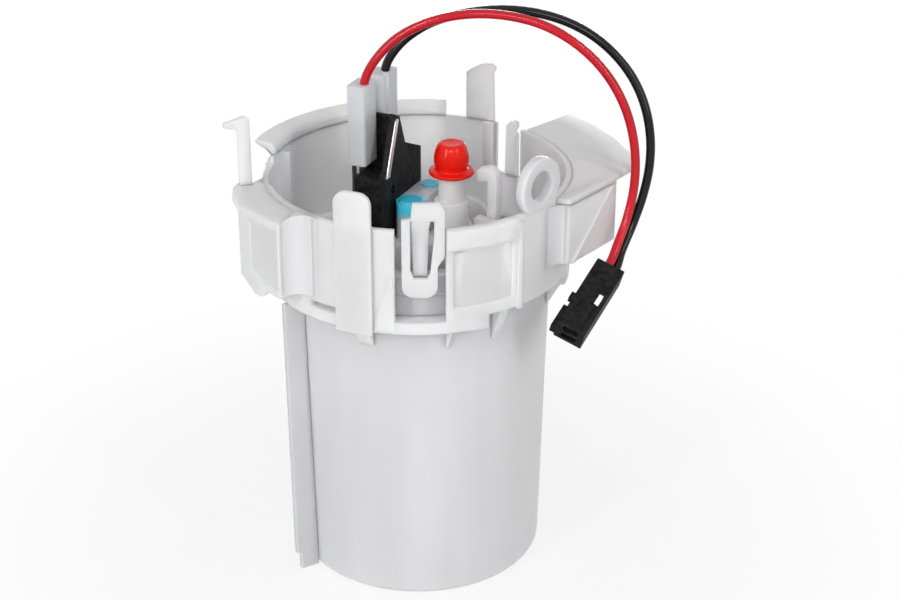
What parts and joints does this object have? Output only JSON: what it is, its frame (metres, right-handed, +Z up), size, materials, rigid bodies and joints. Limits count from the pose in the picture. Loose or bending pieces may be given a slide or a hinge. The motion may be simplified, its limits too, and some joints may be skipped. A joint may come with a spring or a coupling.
{
  "type": "fuel pump",
  "caption": "In-tank fuel pump module: translucent swirl pot with a slotted crown, electric pump with capped outlet inside, and a two-wire lead ending in a free connector.",
  "frame": {"origin": "centre of the pot's flat base, which rests on the floor", "axes": "+Z up along the pot, -Y towards the window in the crown, +X to the side where the lead hangs"},
  "size_m": [0.1263, 0.0923, 0.1757],
  "materials": {
    "natural_moulding": "moulded, slightly translucent",
    "black_moulding": "moulded, glass filled",
    "pale_moulding": "moulded",
    "steel": "plated",
    "tinned_metal": "tinned",
    "tinted_plug": "clear tint",
    "magnet": "sintered",
    "laminations": "stacked sheet",
    "copper": "enamelled wire",
    "carbon": "pressed",
    "bronze": "sintered",
    "phenolic": "moulded",
    "strainer_cloth": "woven",
    "rubber": "moulded",
    "red_cap": "soft gloss",
    "red_insulation": "extruded",
    "black_insulation": "extruded"
  },
  "bodies": {
    "module": {"swirl_pot": "natural_moulding", "guide_fin": "natural_moulding", "upper_collar": "natural_moulding", "front_left_tab": "natural_moulding", "left_chamber": "natural_moulding", "left_hook_post": "natural_moulding", "right_chamber": "natural_moulding", "right_chamber_lid": "natural_moulding", "lifting_eye": "natural_moulding", "rear_tall_tab": "natural_moulding", "rear_slide_rail": "natural_moulding", "rear_snap_post": "natural_moulding", "rear_rim_tab": "natural_moulding", "rear_flared_lip": "natural_moulding", "pump_carrier": "natural_moulding", "front_latch": "natural_moulding", "carrier_hook": "natural_moulding", "rubber_sleeve": "rubber", "pump_shell": "steel", "pump_end_cover": "natural_moulding", "valve_bridge": "pale_moulding", "connector_housing": "black_moulding", "terminal_blades": "tinned_metal", "relief_spring": "steel", "relief_plug": "tinted_plug", "bleed_plug": "tinted_plug", "outlet_check_spring": "steel", "outlet_spring_stop": "natural_moulding", "field_magnets": "magnet", "brush_spring_front": "steel", "brush_spring_rear": "steel", "upper_bearing": "bronze", "lower_bearing": "bronze", "pump_chamber": "black_moulding", "inlet_cover": "black_moulding", "strainer_frame": "natural_moulding", "strainer_sock": "strainer_cloth", "foot_valve_cage": "natural_moulding"},
    "rotor": {"armature_shaft": "steel", "armature_core": "laminations", "armature_windings": "copper", "commutator": "copper", "impeller": "phenolic"},
    "front_brush": {"brush_front": "carbon"},
    "rear_brush": {"brush_rear": "carbon"},
    "check_valve": {"outlet_check_valve": "black_moulding"},
    "relief_plunger": {"relief_valve": "steel"},
    "foot_flap": {"foot_valve": "rubber"},
    "cap": {"outlet_cap": "red_cap"},
    "lead": {"pump_plug": "pale_moulding", "plug_contacts": "tinned_metal", "wire_red": "red_insulation", "wire_black": "black_insulation", "harness_connector": "black_moulding", "connector_pins": "tinned_metal"}
  },
  "joints": [
    {"name": "rotor_spin", "type": "hinge", "parent": "module", "child": "rotor", "pos_m": [0.0005, 0.0075, 0.06], "axis": [0, 0, 1], "continuous": true},
    {"name": "front_brush_slide", "type": "slide", "parent": "module", "child": "front_brush", "axis": [0, 0, 1], "range_m": [0, 0.002], "stiffness_N_per_m": 60, "springref_m": -0.004, "deforming": ["brush_spring_front"]},
    {"name": "rear_brush_slide", "type": "slide", "parent": "module", "child": "rear_brush", "axis": [0, 0, 1], "range_m": [0, 0.002], "stiffness_N_per_m": 60, "springref_m": -0.004, "deforming": ["brush_spring_rear"]},
    {"name": "outlet_check_lift", "type": "slide", "parent": "module", "child": "check_valve", "axis": [0, 0, 1], "range_m": [0, 0.002], "stiffness_N_per_m": 40, "springref_m": -0.003, "deforming": ["outlet_check_spring"]},
    {"name": "relief_lift", "type": "slide", "parent": "module", "child": "relief_plunger", "axis": [0, 0, 1], "range_m": [0, 0.0012], "stiffness_N_per_m": 400, "springref_m": -0.002, "deforming": ["relief_spring"]},
    {"name": "foot_valve_lift", "type": "slide", "parent": "module", "child": "foot_flap", "axis": [0, 0, 1], "range_m": [0, 0.0015]},
    {"name": "cap_pull", "type": "slide", "parent": "module", "child": "cap", "axis": [0, 0, 1], "range_m": [0, 0.02]},
    {"name": "lead_unplug", "type": "slide", "parent": "module", "child": "lead", "axis": [0, 0, 1], "range_m": [0, 0.018]}
  ]
}
